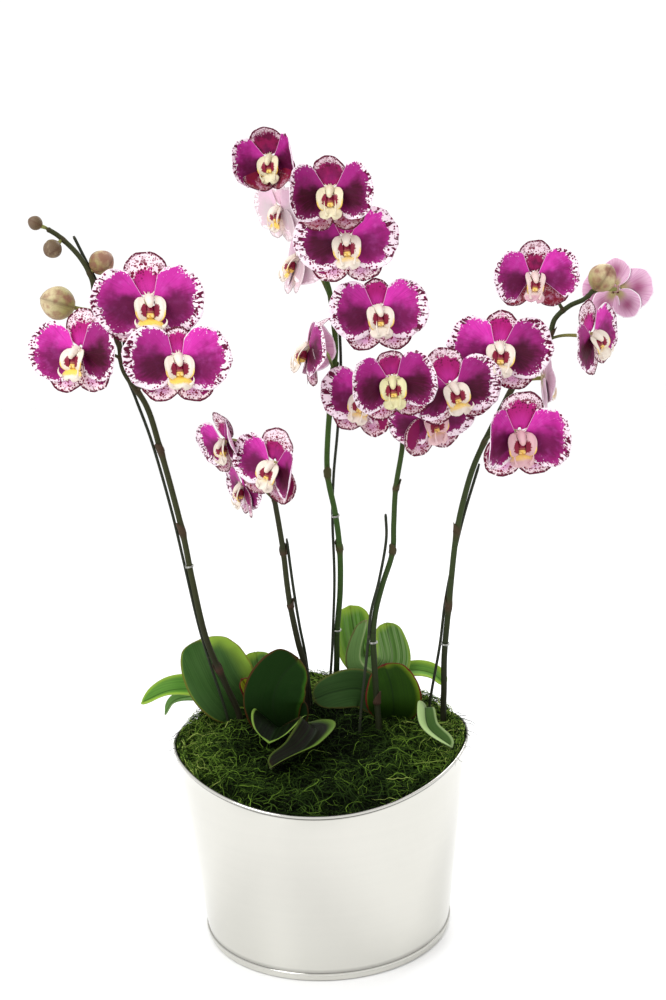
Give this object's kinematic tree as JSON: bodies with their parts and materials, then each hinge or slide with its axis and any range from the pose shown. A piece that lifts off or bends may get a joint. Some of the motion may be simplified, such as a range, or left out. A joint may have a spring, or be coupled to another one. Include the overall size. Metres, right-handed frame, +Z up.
{
  "type": "potted orchid",
  "caption": "Potted moth orchid: tall arching flower spikes tied to thin stakes over broad leaves, in a round metal bucket topped with moss.",
  "frame": {"origin": "centre of the bucket's flat underside, on the surface it stands on", "axes": "+Z up along the bucket's axis, -Y towards the viewer whom most of the flowers face, +X to the viewer's right"},
  "size_m": [0.561, 0.2827, 0.7321],
  "materials": {
    "bucket": "bright polished steel, mirror-like, with soft pale reflections",
    "potting_mix": "loose dark bark chips, matte",
    "moss": "fine tangled strands, matte, dark in the gaps",
    "stem": "smooth green skin with a light gloss, purplish at the nodes",
    "stake": "thin dark green stick, matte, with pale wire ties",
    "leaf": "smooth waxy leaf, semi-gloss, with a paler underside and a reddish rim",
    "petal": "satin petal, magenta with an irregular white margin and dark specks",
    "lip": "waxy cream-white with yellow and crimson marks"
  },
  "bodies": {
    "root": {"bucket": "bucket", "potting_mix": "potting_mix", "moss": "moss", "stem_a": "stem", "stem_b": "stem", "stem_c": "stem", "stem_d": "stem", "stem_e": "stem", "stake_a": "stake", "stake_b": "stake", "stake_c": "stake", "stake_d": "stake", "stake_e": "stake", "leaves_a": "leaf", "leaves_b": "leaf", "leaves_c": "leaf", "leaves_d": "leaf", "leaves_e": "leaf", "perianth_a1": "petal", "perianth_a2": "petal", "perianth_a3": "petal", "perianth_b1": "petal", "perianth_b2": "petal", "perianth_b3": "petal", "perianth_c1": "petal", "perianth_c3": "petal", "perianth_c4": "petal", "perianth_c5": "petal", "perianth_c6": "petal", "perianth_c8": "petal", "perianth_d1": "petal", "perianth_d2": "petal", "perianth_d3": "petal", "perianth_e1": "petal", "perianth_e2": "petal", "perianth_e3": "petal", "perianth_e4": "petal", "lip_a1": "lip", "lip_a2": "lip", "lip_a3": "lip", "lip_b1": "lip", "lip_b2": "lip", "lip_b3": "lip", "lip_c1": "lip", "lip_c3": "lip", "lip_c4": "lip", "lip_c5": "lip", "lip_c6": "lip", "lip_c8": "lip", "lip_d1": "lip", "lip_d2": "lip", "lip_d3": "lip", "lip_e1": "lip", "lip_e2": "lip", "lip_e3": "lip", "lip_e4": "lip", "bloom_c2": "petal", "bloom_c7": "petal", "bloom_e5": "petal", "bloom_e6": "petal"}
  },
  "joints": []
}
